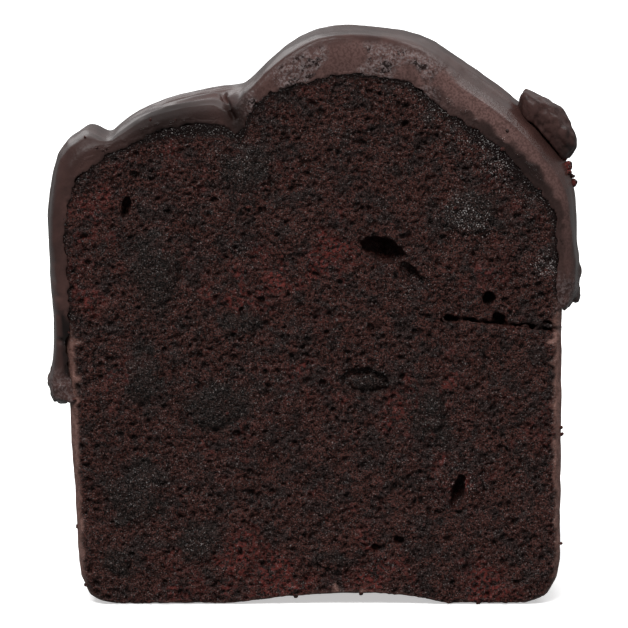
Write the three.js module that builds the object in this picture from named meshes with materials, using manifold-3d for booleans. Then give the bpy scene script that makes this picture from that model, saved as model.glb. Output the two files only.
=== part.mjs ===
// Slice of an iced chocolate loaf cake, standing on its base crust as it was cut.
// Millimetres, +Z up. X runs across the slice, and the cut face that is shown looks towards -Y.
import * as THREE from "three";
import { ImprovedNoise } from "three/addons/math/ImprovedNoise.js";
import { mergeVertices } from "three/addons/utils/BufferGeometryUtils.js";
import Module from "manifold-3d";

// Driving dimensions of the slice
const SLICE_DEPTH = 28;
const HALF_DEPTH = SLICE_DEPTH / 2;
const SPONGE_HEIGHT = 97.4;
const SPONGE_HALF_WIDTH = 45.5;
const GAP = 0.3;

// The point that the outlines are measured round
const HEART = new THREE.Vector2(0, 48);

// Outline of the sponge at the middle of the slice, as [x, z] points of four smooth stretches
const BASE_LINE = [
  [-40.6, 1.6], [-37.5, 0], [-28, 0], [-16, 0], [-8, 0.9], [2, 1.7],
  [14, 1.7], [20, 0.9], [25, 0], [32, 0], [38.5, 0], [42.4, 1.7],
];
const LEFT_LINE = [
  [-40.6, 1.6], [-42.2, 5], [-42.7, 10], [-43.1, 19], [-43.9, 31],
  [-44.5, 44], [-45.4, 56], [-46, 66], [-46, 72], [-44.6, 76.6],
];
const RIGHT_LINE = [
  [42.4, 1.7], [44.4, 5.4], [44.7, 12], [44.8, 30], [44.9, 50], [45, 62], [44.8, 71.5],
];
const TOP_LINE = [
  [-44.6, 76.6], [-42.8, 79], [-38.5, 82.2], [-34.6, 84.2], [-30, 86.4], [-25.4, 87.6],
  [-20.4, 88.1], [-16.8, 88.1], [-13.8, 86], [-11.6, 90.6], [-9, 93.4], [-5.4, 94.8],
  [0, 96.2], [5, 97.3], [10.6, 97.4], [15, 96.7], [18.5, 95], [23.5, 91.2],
  [30.6, 86.8], [35.4, 83], [39.2, 78.6], [42.6, 75], [44.8, 71.5],
];

// Outline of the icing's outside at the middle of the slice, from its left end to its right end
const ICING_LINE = [
  [-46, 33], [-47.5, 37], [-47.8, 40.6], [-46.9, 45.5], [-47.1, 52], [-47.5, 60.5], [-47.9, 68.5],
  [-47.6, 74], [-46.9, 78.5], [-46, 81.7], [-44.2, 83.8], [-41, 85.2], [-38.4, 84.7],
  [-36, 85.6], [-33, 87.5], [-29, 89.5], [-24, 91], [-19.5, 91.9], [-15.8, 92.8],
  [-12.6, 93.5], [-10, 95.7], [-7.6, 98.2], [-4, 101], [0, 103.1], [5, 103.9],
  [10, 103.8], [15, 103.3], [19, 102.4], [22.5, 100.9], [26, 98.5], [30.6, 95.3],
  [35.2, 92], [38.6, 89], [42, 85.6], [45.4, 81], [47, 76.4], [47.5, 72],
  [47.6, 67], [48, 61.5], [47.8, 58], [47.2, 54.5], [46, 50],
];
const ICING_LEFT_END = 37;
const ICING_RIGHT_END = 53.8;

// Rounding of the sponge along its cut edges
const EDGE_ROUND = 2.4;
const SIDE_PULL = 1.1;
const BASE_PULL = 0.4;
const TOP_PULL = 0.7;

// Rolling of the icing towards the cut faces, strongest on the right shoulder
const ROLL_DEPTH = 8;
const ROLL_ALL_OVER = 0.4;
const ROLL_SHOULDERS = [
  { drop: 3, angle: 32, spread: 12 },
  { drop: 2, angle: 54, spread: 11 },
];
const ROLL_BACK = 1.2;

// Fold between the left plateau and the dome, open at the cut face and closed behind
const FOLD = { drop: 2.6, angle: -19.5, spread: 2.4, depth: 11 };

// Unevenness, as height and width of its bumps
const FACE_CRAGS = { height: 0.5, width: 7 };
const ICING_LUMPS = { height: 0.45, width: 9, seed: 3.3 };
const ICING_END_WAVE = { height: 4, width: 7, stations: 5, seed: 7.5 };

// Gap that opens behind the icing's hanging left end
const STAND_OFF = { lift: 1, angle: -92, spread: 7, depth: 16 };

// Mesh steps across, up and through the sponge, and through the icing
const ACROSS = 38;
const UP = 20;
const THROUGH = 6;
const ICING_THROUGH = 8;
const ICING_LAYERS = 2;
const CREST_STEPS = 160;

// Chocolate chunks cut through at the faces: centre, half width, half height and half depth.
// A sunk one lies further in.
const FRONT_CHUNKS = [
  { x: -28.6, z: 61.3, wide: 3.6, tall: 6.6, deep: 5 },
  { x: -30.6, z: 41.6, wide: 3.2, tall: 3.7, deep: 4 },
  { x: -17.6, z: 36.6, wide: 5.2, tall: 3.9, deep: 5 },
  { x: -31.6, z: 20.2, wide: 4.3, tall: 4.4, deep: 5 },
  { x: -20.4, z: 11.2, wide: 2.7, tall: 3.1, deep: 4 },
  { x: -35.4, z: 7.8, wide: 2, tall: 1.8, deep: 3 },
  { x: -13.2, z: 50.9, wide: 2.4, tall: 1.8, deep: 3 },
  { x: 9.4, z: 40.4, wide: 4.2, tall: 1.9, deep: 3, sunk: 2.6 },
  { x: 20.5, z: 35, wide: 3.1, tall: 4.4, deep: 4 },
  { x: 27.8, z: 71.2, wide: 4.9, tall: 3.6, deep: 5 },
  { x: -11.2, z: 79, wide: 4.3, tall: 2.7, deep: 4 },
  { x: 3.2, z: 8.5, wide: 2.3, tall: 1.5, deep: 3 },
];
const BACK_CHUNKS = [
  { x: 26, z: 24, wide: 4.6, tall: 3.8, deep: 5 },
  { x: 12, z: 66, wide: 3.4, tall: 5.4, deep: 4 },
  { x: -22, z: 48, wide: 5, tall: 3.4, deep: 5 },
  { x: -8, z: 18, wide: 2.8, tall: 2.6, deep: 4 },
];
const CHUNK_LUMPS = { height: 0.34, width: 0.8 };
const CHUNK_CUT = 0.3;
const LARGE_CHUNK = 3;
const BALL_DETAIL = { small: 1, large: 2, lump: 3 };

// Hollows in the cut faces: centre, half width, half height, depth and turn in degrees
const FRONT_HOLLOWS = [
  { x: 12.6, z: 64.8, wide: 4.2, tall: 2.5, deep: 6, turn: -18 },
  { x: 17.6, z: 60.2, wide: 3.4, tall: 1.3, deep: 2.6, turn: -48 },
  { x: 9.2, z: 40.6, wide: 5, tall: 2.6, deep: 2.4, turn: -6 },
  { x: -33.7, z: 72.2, wide: 0.8, tall: 2.4, deep: 3.6, turn: -12 },
  { x: 31.7, z: 55.8, wide: 1.3, tall: 1.4, deep: 4, turn: 0 },
  { x: 33.4, z: 52.3, wide: 1.6, tall: 1.3, deep: 4, turn: -30 },
  { x: 26.2, z: 20.6, wide: 1.2, tall: 3.3, deep: 4.5, turn: -14 },
  { x: 15.5, z: 11.8, wide: 1, tall: 0.8, deep: 2.6, turn: -20 },
  { x: 11.4, z: 10.4, wide: 0.9, tall: 0.8, deep: 2.4, turn: 0 },
];
const BACK_HOLLOWS = [
  { x: -14, z: 72, wide: 3.2, tall: 1.7, deep: 4.6, turn: 24 },
  { x: 33, z: 48, wide: 1.1, tall: 2.6, deep: 3.6, turn: 16 },
  { x: -34, z: 28, wide: 1.6, tall: 1.2, deep: 3, turn: -20 },
];

// Crack from the sponge's middle out to its right side
const CRACK = { from: 23.6, to: 47, start: 52.4, end: 49.7, deep: 6, sunk: 4.5, steps: 14 };
const CRACK_WIDTH = { least: 0.2, uneven: 0.55, spread: 0.25, wave: 3, seed: 4.5 };
const CRACK_JAG = { height: 0.5, wave: 2.5, seed: 0.5 };

// Lump of chocolate lying on the right shoulder
const LUMP = { x: 42.8, y: -5.5, z: 86.9, length: 7.3, width: 3.6, thickness: 4.4, lean: 35 };
const LUMP_LUMPS = { height: 0.24, width: 0.8, seed: 5.2 };
const LUMP_TIP = 0.4;

const COLOURS = { sponge: 0x2d1e1c, icing: 0x5a4744, chunk: 0x25201e, lump: 0x40312f };

const noise = new ImprovedNoise();
const wasm = await Module();
wasm.setup();

// Evenly spaced points on a smooth line through the given points
function smoothLine(points, steps) {
  const curve = new THREE.CatmullRomCurve3(points.map(([x, z]) => new THREE.Vector3(x, 0, z)));
  return curve.getSpacedPoints(steps).map((point) => new THREE.Vector2(point.x, Math.max(point.z, 0)));
}

function mix(from, to, share) {
  return from + (to - from) * share;
}

function bell(value, middle, spread) {
  return Math.exp(-(((value - middle) / spread) ** 2));
}

// Rises from 0 inside the slice to 1 at a cut face, round like a quarter of an ellipse
function towardsFace(y, reach) {
  const share = THREE.MathUtils.clamp((Math.abs(y) - HALF_DEPTH + reach) / reach, 0, 1);
  return 1 - Math.sqrt(1 - share * share);
}

// Depth of a mesh step, closer together near the cut faces
function depthAt(step, steps) {
  return HALF_DEPTH * Math.sin((step / steps - 0.5) * Math.PI);
}

// A closed box mesh with each grid point moved to its place
function mappedBox(stepsX, stepsY, stepsZ, place) {
  const box = new THREE.BoxGeometry(1, 1, 1, stepsX, stepsY, stepsZ);
  const points = box.attributes.position;
  for (let n = 0; n < points.count; n += 1) {
    const i = Math.round((points.getX(n) + 0.5) * stepsX);
    const j = Math.round((points.getY(n) + 0.5) * stepsY);
    const k = Math.round((points.getZ(n) + 0.5) * stepsZ);
    const { x, y, z } = place(i, j, k);
    points.setXYZ(n, x, y, z);
  }
  return box;
}

function solidOf(geometry) {
  const bare = geometry.clone();
  bare.deleteAttribute("normal");
  bare.deleteAttribute("uv");
  const merged = mergeVertices(bare);
  const triangles = Uint32Array.from(merged.index.array);
  const vertices = Float32Array.from(merged.attributes.position.array);
  return new wasm.Manifold(new wasm.Mesh({ numProp: 3, vertProperties: vertices, triVerts: triangles }));
}

function geometryOf(solid) {
  const mesh = solid.getMesh();
  const geometry = new THREE.BufferGeometry();
  geometry.setAttribute("position", new THREE.BufferAttribute(mesh.vertProperties, 3));
  geometry.setIndex(new THREE.BufferAttribute(mesh.triVerts, 1));
  geometry.computeVertexNormals();
  return geometry;
}

// Sponge outline as mesh points
const base = smoothLine(BASE_LINE, ACROSS);
const top = smoothLine(TOP_LINE, ACROSS);
const left = smoothLine(LEFT_LINE, UP);
const right = smoothLine(RIGHT_LINE, UP);

// Pulls an outline point in where the cut edges are rounded
function pulledIn(point, y) {
  const pull = towardsFace(y, EDGE_ROUND);
  const height = point.y / SPONGE_HEIGHT;
  const x = point.x * (1 - (pull * SIDE_PULL) / SPONGE_HALF_WIDTH);
  const z = point.y + pull * mix(BASE_PULL, -TOP_PULL, height);
  return new THREE.Vector2(x, z);
}

// Point of the sponge's face, blended from the four stretches of its outline
function facePoint(i, k) {
  const u = i / ACROSS;
  const v = k / UP;
  const blend = (axis) => {
    const upwards = mix(base[i][axis], top[i][axis], v);
    const sideways = mix(left[k][axis], right[k][axis], u);
    const low = mix(base[0][axis], base[ACROSS][axis], u);
    const high = mix(top[0][axis], top[ACROSS][axis], u);
    return upwards + sideways - mix(low, high, v);
  };
  return new THREE.Vector2(blend("x"), blend("y"));
}

function spongeBody() {
  return mappedBox(ACROSS, THROUGH, UP, (i, j, k) => {
    const y = depthAt(j, THROUGH);
    const { x, y: z } = pulledIn(facePoint(i, k), y);
    const inside = i > 0 && i < ACROSS && k > 0 && k < UP;
    const crag = noise.noise(x / FACE_CRAGS.width, y, z / FACE_CRAGS.width);
    return new THREE.Vector3(x, inside ? y + FACE_CRAGS.height * crag : y, z);
  });
}

// Angle of a point round the heart, from straight up towards +X
function angleOf(point) {
  return Math.atan2(point.x - HEART.x, point.y - HEART.y);
}

// Distance from the heart to a line of points, along an angle
function reachAt(line, angle) {
  const ray = new THREE.Vector2(Math.sin(angle), Math.cos(angle));
  const last = line.length - 2;
  const n = line.findIndex((_, m) => m === last || angleOf(line[m + 1]) >= angle);
  const start = line[n].clone().sub(HEART);
  const step = line[n + 1].clone().sub(line[n]);
  return start.cross(step) / ray.cross(step);
}

// Point of a rising line at a height
function pointAtHeight(line, height) {
  const n = line.findIndex((point) => point.y > height);
  const share = (height - line[n - 1].y) / (line[n].y - line[n - 1].y);
  return line[n - 1].clone().lerp(line[n], share);
}

// Sponge outline under the icing, and the icing's own outline
const arch = [...left.slice(1), ...top.slice(1), ...right.slice(1, UP).reverse()];
const crest = smoothLine(ICING_LINE, CREST_STEPS);
const covered = arch.filter((point) => point.y > (point.x < 0 ? ICING_LEFT_END : ICING_RIGHT_END));
const stations = [pointAtHeight(left, ICING_LEFT_END), ...covered, pointAtHeight(right, ICING_RIGHT_END)];

// Angle of a station, with the icing's lower ends reaching less far down behind the shown face
function stationAngle(m, y) {
  const { height, width, seed } = ICING_END_WAVE;
  const wave = noise.noise(y / width, 0, seed) - noise.noise(-HALF_DEPTH / width, 0, seed);
  const turn = (height * Math.abs(wave)) / SPONGE_HALF_WIDTH;
  const fromLeft = Math.max(0, 1 - m / ICING_END_WAVE.stations);
  const fromRight = Math.max(0, 1 - (stations.length - 1 - m) / ICING_END_WAVE.stations);
  return angleOf(stations[m]) + turn * (fromLeft - fromRight);
}

// How far the icing's outside drops below its outline at a place
function icingDrop(angle, y) {
  const degrees = THREE.MathUtils.radToDeg(angle);
  const shoulder = ROLL_SHOULDERS.reduce((sum, { drop, angle: middle, spread }) => {
    return sum + drop * bell(degrees, middle, spread);
  }, 0);
  const roll = y < 0 ? ROLL_ALL_OVER + shoulder : ROLL_BACK;
  const fold = FOLD.drop * bell(degrees, FOLD.angle, FOLD.spread);
  const foldShare = THREE.MathUtils.clamp(1 - (y + HALF_DEPTH) / FOLD.depth, 0, 1);
  const along = (angle * SPONGE_HALF_WIDTH) / ICING_LUMPS.width;
  const lumps = ICING_LUMPS.height * noise.noise(along, y / ICING_LUMPS.width, ICING_LUMPS.seed);
  return roll * towardsFace(y, ROLL_DEPTH) + fold * foldShare + lumps;
}

// How far the icing's inside stands off the sponge
function standOff(angle, y) {
  const hang = bell(THREE.MathUtils.radToDeg(angle), STAND_OFF.angle, STAND_OFF.spread);
  const share = THREE.MathUtils.clamp(1 - (y + HALF_DEPTH) / STAND_OFF.depth, 0, 1);
  return GAP + STAND_OFF.lift * hang * share;
}

// The icing over the sponge, its outside grown by a clearance
function icingBody(clearance) {
  return mappedBox(stations.length - 1, ICING_THROUGH, ICING_LAYERS, (m, j, layer) => {
    const y = depthAt(j, ICING_THROUGH);
    const angle = stationAngle(m, y);
    const ray = new THREE.Vector2(Math.sin(angle), Math.cos(angle));
    const inside = reachAt(arch, angle) + standOff(angle, y);
    const inner = pulledIn(ray.clone().multiplyScalar(inside).add(HEART), y);
    const outside = reachAt(crest, angle) - icingDrop(angle, y) + clearance;
    const outer = ray.clone().multiplyScalar(outside).add(HEART);
    const point = inner.lerp(outer, layer / ICING_LAYERS);
    return new THREE.Vector3(point.x, y, point.y);
  });
}

// A rough ball of unit size, swollen and dented by its own bumps
function roughBall(detail, bumps, seed) {
  const ball = new THREE.IcosahedronGeometry(1, detail);
  const points = ball.attributes.position;
  const place = new THREE.Vector3();
  for (let n = 0; n < points.count; n += 1) {
    place.fromBufferAttribute(points, n);
    const at = place.clone().divideScalar(bumps.width);
    const swell = 1 + bumps.height * noise.noise(at.x + seed, at.y - seed, at.z + 2 * seed);
    points.setXYZ(n, place.x * swell, place.y * swell, place.z * swell);
  }
  return ball;
}

// Side of the slice that a piece belongs to: -1 at the shown face, 1 at the back
function atFace(piece, side, grow) {
  const depth = side * (HALF_DEPTH - CHUNK_CUT * piece.deep - (piece.sunk ?? 0));
  return new THREE.Matrix4()
    .makeTranslation(piece.x, depth, piece.z)
    .multiply(new THREE.Matrix4().makeRotationY(-THREE.MathUtils.degToRad(piece.turn ?? 0)))
    .multiply(new THREE.Matrix4().makeScale(piece.wide + grow, piece.deep + grow, piece.tall + grow));
}

// Everything between the planes of the two cuts
const betweenCuts = solidOf(new THREE.BoxGeometry(2 * SPONGE_HEIGHT, SLICE_DEPTH, 2 * SPONGE_HEIGHT));

function chunkSolid(chunk, side, seed, grow) {
  const detail = Math.max(chunk.wide, chunk.tall) > LARGE_CHUNK ? BALL_DETAIL.large : BALL_DETAIL.small;
  return solidOf(roughBall(detail, CHUNK_LUMPS, seed).applyMatrix4(atFace(chunk, side, grow)));
}

function hollowSolid(hollow, side, seed) {
  const atSurface = { ...hollow, sunk: -CHUNK_CUT * hollow.deep };
  return solidOf(roughBall(BALL_DETAIL.small, CHUNK_LUMPS, seed).applyMatrix4(atFace(atSurface, side, 0)));
}

// A jagged wedge that opens towards the right side
function crackSolid() {
  const above = [];
  const below = [];
  for (let n = 0; n <= CRACK.steps; n += 1) {
    const share = n / CRACK.steps;
    const x = mix(CRACK.from, CRACK.to, share);
    const jag = CRACK_JAG.height * noise.noise(x / CRACK_JAG.wave, CRACK_JAG.seed, 0);
    const uneven = Math.abs(noise.noise(x / CRACK_WIDTH.wave, CRACK_WIDTH.seed, 0));
    const half = CRACK_WIDTH.least + CRACK_WIDTH.uneven * uneven + CRACK_WIDTH.spread * share;
    const z = mix(CRACK.start, CRACK.end, share) + jag;
    above.push(new THREE.Vector2(x, z + half));
    below.unshift(new THREE.Vector2(x, z - half));
  }
  const wedge = new THREE.ExtrudeGeometry(new THREE.Shape([...above, ...below]), {
    depth: CRACK.deep,
    bevelEnabled: false,
  });
  wedge.rotateX(Math.PI / 2);
  wedge.translate(0, CRACK.sunk - HALF_DEPTH, 0);
  return solidOf(wedge);
}

// Pieces of chocolate with the pockets that they sit in
const chunks = [
  ...FRONT_CHUNKS.map((chunk) => ({ chunk, side: -1, face: "front" })),
  ...BACK_CHUNKS.map((chunk) => ({ chunk, side: 1, face: "back" })),
].map(({ chunk, side, face }, n) => ({
  name: `chunk_${face}_${String(n + 1).padStart(2, "0")}`,
  solid: chunkSolid(chunk, side, n, 0).intersect(betweenCuts),
  pocket: chunkSolid(chunk, side, n, GAP),
}));

function spongeSolid() {
  const hollows = [
    ...FRONT_HOLLOWS.map((hollow, n) => hollowSolid(hollow, -1, n)),
    ...BACK_HOLLOWS.map((hollow, n) => hollowSolid(hollow, 1, n)),
    crackSolid(),
    ...chunks.map(({ pocket }) => pocket),
  ];
  return hollows.reduce((body, hollow) => body.subtract(hollow), solidOf(spongeBody()));
}

// A pointed lump that lies along the icing's slope
function lumpSolid() {
  const lump = roughBall(BALL_DETAIL.lump, LUMP_LUMPS, LUMP_LUMPS.seed);
  const points = lump.attributes.position;
  for (let n = 0; n < points.count; n += 1) {
    const taper = 1 - LUMP_TIP * Math.max(0, points.getZ(n)) ** 2;
    points.setXYZ(n, points.getX(n) * taper, points.getY(n) * taper, points.getZ(n));
  }
  lump.scale(LUMP.width, LUMP.thickness, LUMP.length);
  lump.rotateY(-THREE.MathUtils.degToRad(LUMP.lean));
  lump.translate(LUMP.x, LUMP.y, LUMP.z);
  return solidOf(lump).subtract(solidOf(icingBody(GAP)));
}

const slice = new THREE.Group();

function addPiece(name, solid, color, roughness) {
  const material = new THREE.MeshStandardMaterial({ color, roughness, metalness: 0 });
  const mesh = new THREE.Mesh(geometryOf(solid), material);
  mesh.name = name;
  slice.add(mesh);
}

addPiece("sponge", spongeSolid(), COLOURS.sponge, 0.9);
addPiece("icing", solidOf(icingBody(0)), COLOURS.icing, 0.45);
addPiece("chocolate_lump", lumpSolid(), COLOURS.lump, 0.6);
for (const { name, solid } of chunks) {
  addPiece(name, solid, COLOURS.chunk, 0.6);
}

export default slice;
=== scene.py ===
"""Looks of a slice of iced chocolate loaf cake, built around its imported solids.

Each piece starts as a copy of its solid, is remeshed finely and then gets the relief of the real
food: pores and crags in the crumb, smears in the icing, grain in the chocolate.
Shapes are worked out in millimetres and written to the meshes in metres.
"""

import itertools
import math

import bmesh
import bpy
import numpy as np
from mathutils import Euler, Matrix, Vector
from mathutils.bvhtree import BVHTree


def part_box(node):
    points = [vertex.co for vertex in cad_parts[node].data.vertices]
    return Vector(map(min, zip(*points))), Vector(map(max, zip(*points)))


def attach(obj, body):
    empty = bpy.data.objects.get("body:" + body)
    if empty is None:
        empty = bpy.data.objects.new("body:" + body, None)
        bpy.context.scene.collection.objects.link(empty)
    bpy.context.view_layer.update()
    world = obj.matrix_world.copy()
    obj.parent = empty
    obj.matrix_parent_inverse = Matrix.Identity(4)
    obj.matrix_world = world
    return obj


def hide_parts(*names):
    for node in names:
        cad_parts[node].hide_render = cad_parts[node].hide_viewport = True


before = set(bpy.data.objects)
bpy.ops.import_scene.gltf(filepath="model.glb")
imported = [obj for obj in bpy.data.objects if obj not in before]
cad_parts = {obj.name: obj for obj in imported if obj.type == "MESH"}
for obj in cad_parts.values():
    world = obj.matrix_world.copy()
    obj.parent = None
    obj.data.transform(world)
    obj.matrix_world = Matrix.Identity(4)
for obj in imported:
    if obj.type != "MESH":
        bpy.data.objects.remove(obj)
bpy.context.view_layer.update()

MM = 0.001

# The point that outlines are measured round, as in the solids, and the cut faces' place
HEART = (0.0, 48.0)
HALF_DEPTH = 14.0

# Finest mesh step of each piece, and the triangles that it keeps
SPONGE_MESH = {"step": 0.23, "smooth": 8, "triangles": 388000}
ICING_MESH = {"step": 0.34, "smooth": 10, "triangles": 170000}
CHUNK_MESH = {"step": 0.25, "smooth": 3, "triangles": 12000}
LUMP_MESH = {"step": 0.16, "smooth": 4, "triangles": 40000}

# Pores of the crumb: cell that holds one, share of cells that do, smallest and largest radius
PORES = [
    {"cell": 0.8, "chance": 0.9, "least": 0.2, "most": 0.38, "seed": 11},
    {"cell": 1.9, "chance": 0.5, "least": 0.28, "most": 0.62, "seed": 23},
    {"cell": 9.0, "chance": 0.25, "least": 0.5, "most": 0.9, "seed": 37},
]

# Stretch of the pores over the face, skew of their sizes, their depth for a round bowl's,
# the depth that gets full painted shade, the shift that makes the back differ, and their bent outlines
PORE_STRETCH = (1.05, 1.0)
PORE_SKEW = 1.5
PORE_DEEPER = 1.5
PORE_SHADE_FULL = 0.45
BACK_SHIFT = 200.0
WARP = {"reach": 0.4, "width": 1.5, "seed": 5}

# Crags of the crumb, as height and width of their bumps
CRAGS = [
    {"height": 0.2, "width": 0.55, "seed": 41},
    {"height": 0.22, "width": 1.5, "seed": 43},
    {"height": 0.2, "width": 6.0, "seed": 47},
]
CHUNK_CRAGS = [
    {"height": 0.24, "width": 0.8, "seed": 107},
    {"height": 0.3, "width": 2.0, "seed": 109},
]
CRUST_BUMPS = [
    {"height": 0.05, "width": 1.1, "seed": 53},
    {"height": 0.12, "width": 4.0, "seed": 59},
]

# How much of its relief the crumb loses where it is soaked or turns into chocolate,
# and how squarely a surface faces the front or back to count as cut
SOAK_FILLS_PORES = 0.9
# Share of the pores' painted shade that soaked crumb loses
SOAK_HIDES_PORES = 0.8
SOAK_FLATTENS = 0.7
CHUNK_FILLS_PORES = 0.4
CUT_FACING = (0.3, 0.8)

# Chocolate in the crumb: wobble of its edge, the ring that it fades over, its rise and lower rim
CHUNK_WOBBLE = [
    {"height": 0.55, "width": 3.4, "seed": 71},
    {"height": 0.4, "width": 1.2, "seed": 73},
]
CHUNK_FADE = (1.5, 0.7)
CHUNK_RISE = 0.25
CHUNK_RIM_DROP = 0.45
CHUNK_RIM = (0.6, 1.0)

# Crust and soaked crumb, by the distance from the outline and the angle round the heart
RIM_WOBBLE = [
    {"height": 0.2, "width": 1.3, "seed": 61},
    {"height": 0.15, "width": 0.5, "seed": 67},
]
ICED_LEFT = (-92.0, -84.0)
ICED_RIGHT = (84.0, 78.0)
BASE_CRUST = (8.0, 2.0)
CRUST_FADE = (1.9, 0.8)
SOAK_DEPTH = 1.3
SOAK_BULGES = [(1.4, -30.0, 16.0), (1.2, 45.0, 18.0)]
SOAK_FADE = (1.2, -0.3)

# Red tint of the crumb: its even part, its blotches and what a patch adds
RED_EVEN = 0.5
RED_BLOTCHES = [
    {"height": 0.5, "width": 9.0, "seed": 79},
    {"height": 0.4, "width": 2.2, "seed": 83},
]
RED_PATCH_SHARE = 0.5
RED_FADE = (0.6, 1.4)

# Reddish patches of the front crumb: centre and radius
RED_PATCHES = [
    (-36.5, 54.0, 4.0), (-15.0, 30.5, 5.0), (-6.0, 4.5, 9.0), (-24.0, 4.0, 8.0),
    (14.0, 4.0, 9.0), (33.0, 5.0, 8.0), (2.0, 66.0, 5.0), (-8.0, 58.0, 5.0),
]

# Moist patches of the front crumb, which get painted glints: centre, half size and strength
PAINTED_GLINT_PATCHES = [
    (27.7, 70.9, 6.0, 4.5, 1.1), (-12.3, 80.4, 5.0, 4.0, 0.6), (-28.6, 61.3, 4.0, 7.0, 0.35),
    (-13.2, 64.0, 2.6, 3.2, 1.0), (41.4, 62.0, 3.2, 3.6, 1.1), (17.5, 60.0, 5.5, 5.0, 0.7),
    (-19.0, 39.0, 5.0, 4.0, 0.4), (-31.0, 22.0, 5.0, 6.0, 0.45), (9.0, 40.5, 5.0, 3.0, 0.4),
    (20.5, 35.0, 3.0, 5.0, 0.35), (-20.4, 11.2, 3.0, 3.0, 0.6), (26.2, 22.0, 5.0, 5.0, 0.7),
]

# Moist crumb along the icing, with painted glints: strength, fade inwards, middle and spread of its angle
PAINTED_GLINT_BANDS = [(0.9, (9.0, 3.0), 40.0, 24.0), (0.4, (4.5, 1.0), -32.0, 24.0)]
PAINTED_GLINT_EVEN = 0.75
PAINTED_GLINT_BREAKS = [{"height": 0.6, "width": 2.5, "seed": 111}]

# The icing's least thickness and largest share of it, and how far from the cut its edge rolls
THIN_ICING = 0.5
MOST_SHARE = 1.1
ROLL_REACH = (-4.0, -HALF_DEPTH)

# Roll of the icing's front edge: how far back, more of it at some angles, and how far down
ROLL_BACK = 1.2
ROLL_MORE = [(2.4, -75.0, 32.0), (1.6, 82.0, 16.0), (5.0, 44.0, 22.0)]
ROLL_DOWN = 0.3

# Smear of the icing's inner edge over the crumb
SMEAR_SHARE = (0.45, 0.05)
SMEAR_REACH = (-13.0, -13.8)
SMEAR_EVEN = 0.3
SMEAR_FORWARD = 0.1
SMEAR_RAGS = [
    {"height": 0.3, "width": 4.0, "seed": 113},
    {"height": 0.5, "width": 1.1, "seed": 117},
]

# Swell of the icing's sides, and the angle that it starts over
SIDE_SWELL = 0.3
SIDE_ANGLE = (50.0, 70.0)

# Marks of the icing's cut, by angle, share of the thickness and height
ICING_CUT_FACING = (0.45, 0.8)
SHOWN_REACH = (-10.0, -12.5)
SOAK_RAGS = [{"height": 0.15, "width": 1.5, "seed": 115}]
SHOULDER = (48.0, 26.0)
SOAK_PLATEAU = {"share": (1.2, 0.85), "angle": (-34.0, 14.0)}
SOAK_INNER = (0.26, 0.1)
SOAK_FOLD = {"share": (1.0, 0.5), "angle": (-19.0, 4.0)}
# Width of the painted shade in the fold's split
SPLIT_SHADE = 0.7
WET_SHARE = (0.85, 0.55)
WET_FROM = (-18.0, -14.0)
WET_TO = (32.0, 20.0)
WET_BREAKS = [{"height": 1.0, "width": 5.0, "seed": 97}]
WET_FADE = (-0.2, 0.15)
DROPS = [{"height": 1.0, "width": 1.2, "seed": 119}]
DROP_FADE = (0.1, 0.5)
DROP_SHARE = (0.12, 0.12)
DROP_ANGLES = [(-40.0, 18.0), (40.0, 25.0)]
LEFT_HEM = (44.0, 41.0)
RIGHT_HEM = (62.0, 58.0)
HEM_WET = 0.5
LEFT_STREAK = {"share": (0.3, 0.14), "angle": (-72.0, 16.0), "height": 0.25}
SECTION_LIMIT = 0.75
SECTION_SHOULDER = 0.25
SECTION_RAGS = [{"height": 0.1, "width": 2.0, "seed": 91}]
SECTION_FADE = (0.1, -0.1)
SECTION_ANGLE = (30.0, 40.0)
WET_GLOSS = 0.6
CUT_GRAIN = 0.25

# Relief of the icing: its inner face, its outside, strokes along the left plateau,
# ridges of the cut, wet grain, grooves and hems
FACING = (0.2, 0.7)
HANGING_ANGLE = (-95.0, 9.0)
HANGING_REACH = (4.0, -6.0)
INNER_RISE = 0.55
OUTSIDE_BUMPS = [
    {"height": 0.14, "width": 5.0, "seed": 93},
    {"height": 0.05, "width": 1.6, "seed": 121},
]
PLATEAU_FROM = (-31.0, -25.0)
PLATEAU_TO = (-12.0, -16.0)
PLATEAU_STROKES = {"height": 0.25, "width": 5.0, "lean": 0.12}
STROKE_BENDS = [{"height": 1.5, "width": 6.0, "seed": 95}]
RIDGE_REACH = (-12.0, -13.5)
RIGHT_RIDGE = {"share": (0.52, 0.06), "angle": (44.0, 16.0), "height": 0.3}
WET_BUMPS = [
    {"height": 0.3, "width": 0.9, "seed": 99},
    {"height": 0.15, "width": 2.0, "seed": 101},
]
CARVED_REACH = (-3.0, -8.0)
SPLIT_CARVE = (1.4, 0.45)
GAP_CARVE = (0.8, 1.0)
HEM_FADE = (44.0, 39.0)
HEM_BUMPS = [
    {"height": 0.45, "width": 2.4, "seed": 127},
    {"height": 0.3, "width": 1.0, "seed": 129},
]

# Waves of the icing's outside along the slice's width: middle, height and half width
ICING_WAVES = [(-40.6, 0.5, 2.0), (-37.4, -0.7, 1.7)]

# Gap behind the hanging icing of the left side, carved and darkened with painted shade:
# its ends in the front view and the half widths of its painted shade
LEFT_GAP = ((-45.3, 52.5), (-44.3, 42.5))
LEFT_GAP_SHADE_WIDTHS = (0.5, 1.2)

# Split of the icing at the fold, and the wet spot beside it with its size, in the front view
FOLD_SPLIT = ((-16.8, 93.0), (-14.3, 88.4))
FOLD_GLINT = (-12.6, 89.4)
FOLD_GLINT_SIZE = 2.0

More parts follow.
